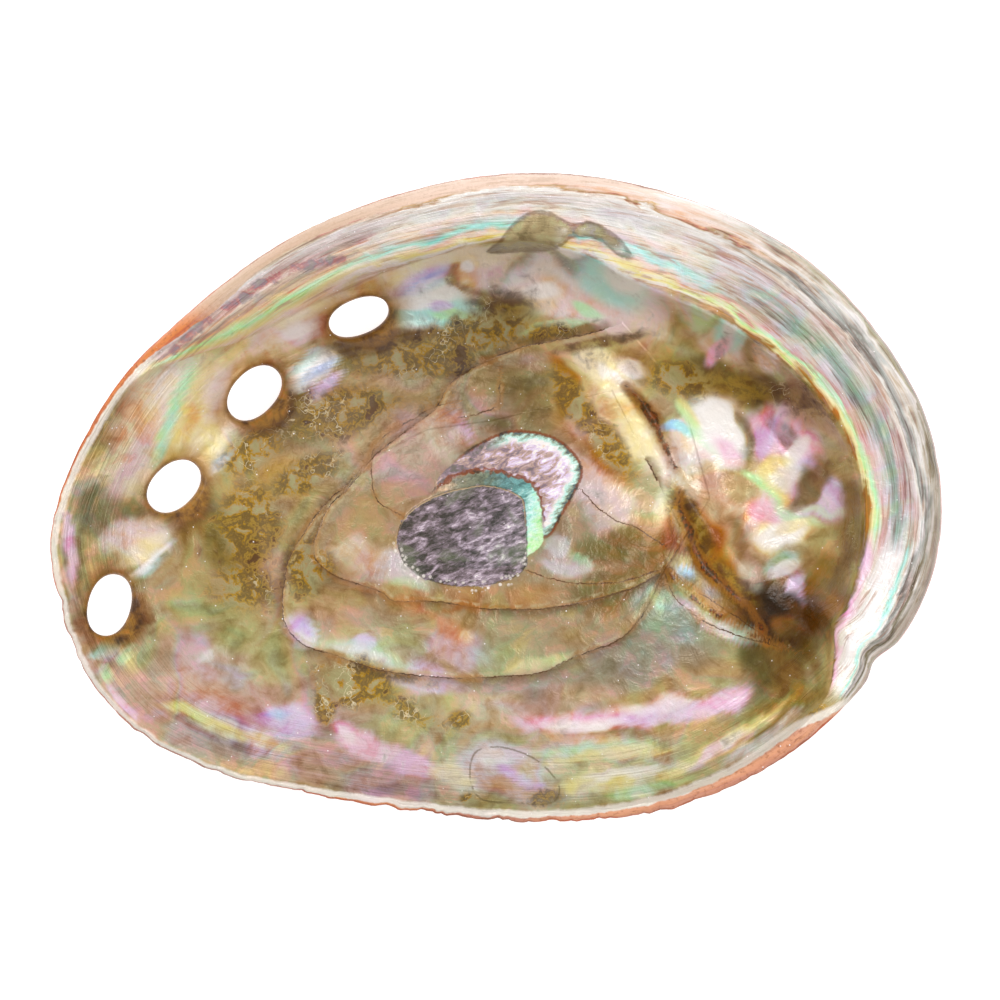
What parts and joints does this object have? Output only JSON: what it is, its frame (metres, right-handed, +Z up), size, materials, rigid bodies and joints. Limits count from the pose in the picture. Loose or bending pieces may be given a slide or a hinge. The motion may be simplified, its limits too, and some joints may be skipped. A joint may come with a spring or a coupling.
{
  "type": "abalone shell",
  "caption": "One large single-piece ear-shaped sea shell lying on its back, with an open mother-of-pearl bowl, a folded inner lip, a row of breathing holes and a low spire.",
  "frame": {"origin": "middle of the shell's footprint, on the surface that its back rests on", "axes": "+Z up, out of the open pearly side; +X along the shell towards the coiled spire end; +Y towards the folded inner lip"},
  "size_m": [0.1796, 0.1308, 0.0458],
  "materials": {
    "shell": "pearly nacre inside, with pink, green and blue sheen over golden brown stains; brick red and tan, ridged and matt outside"
  },
  "bodies": {
    "root": {"abalone_shell": "shell"}
  },
  "joints": []
}
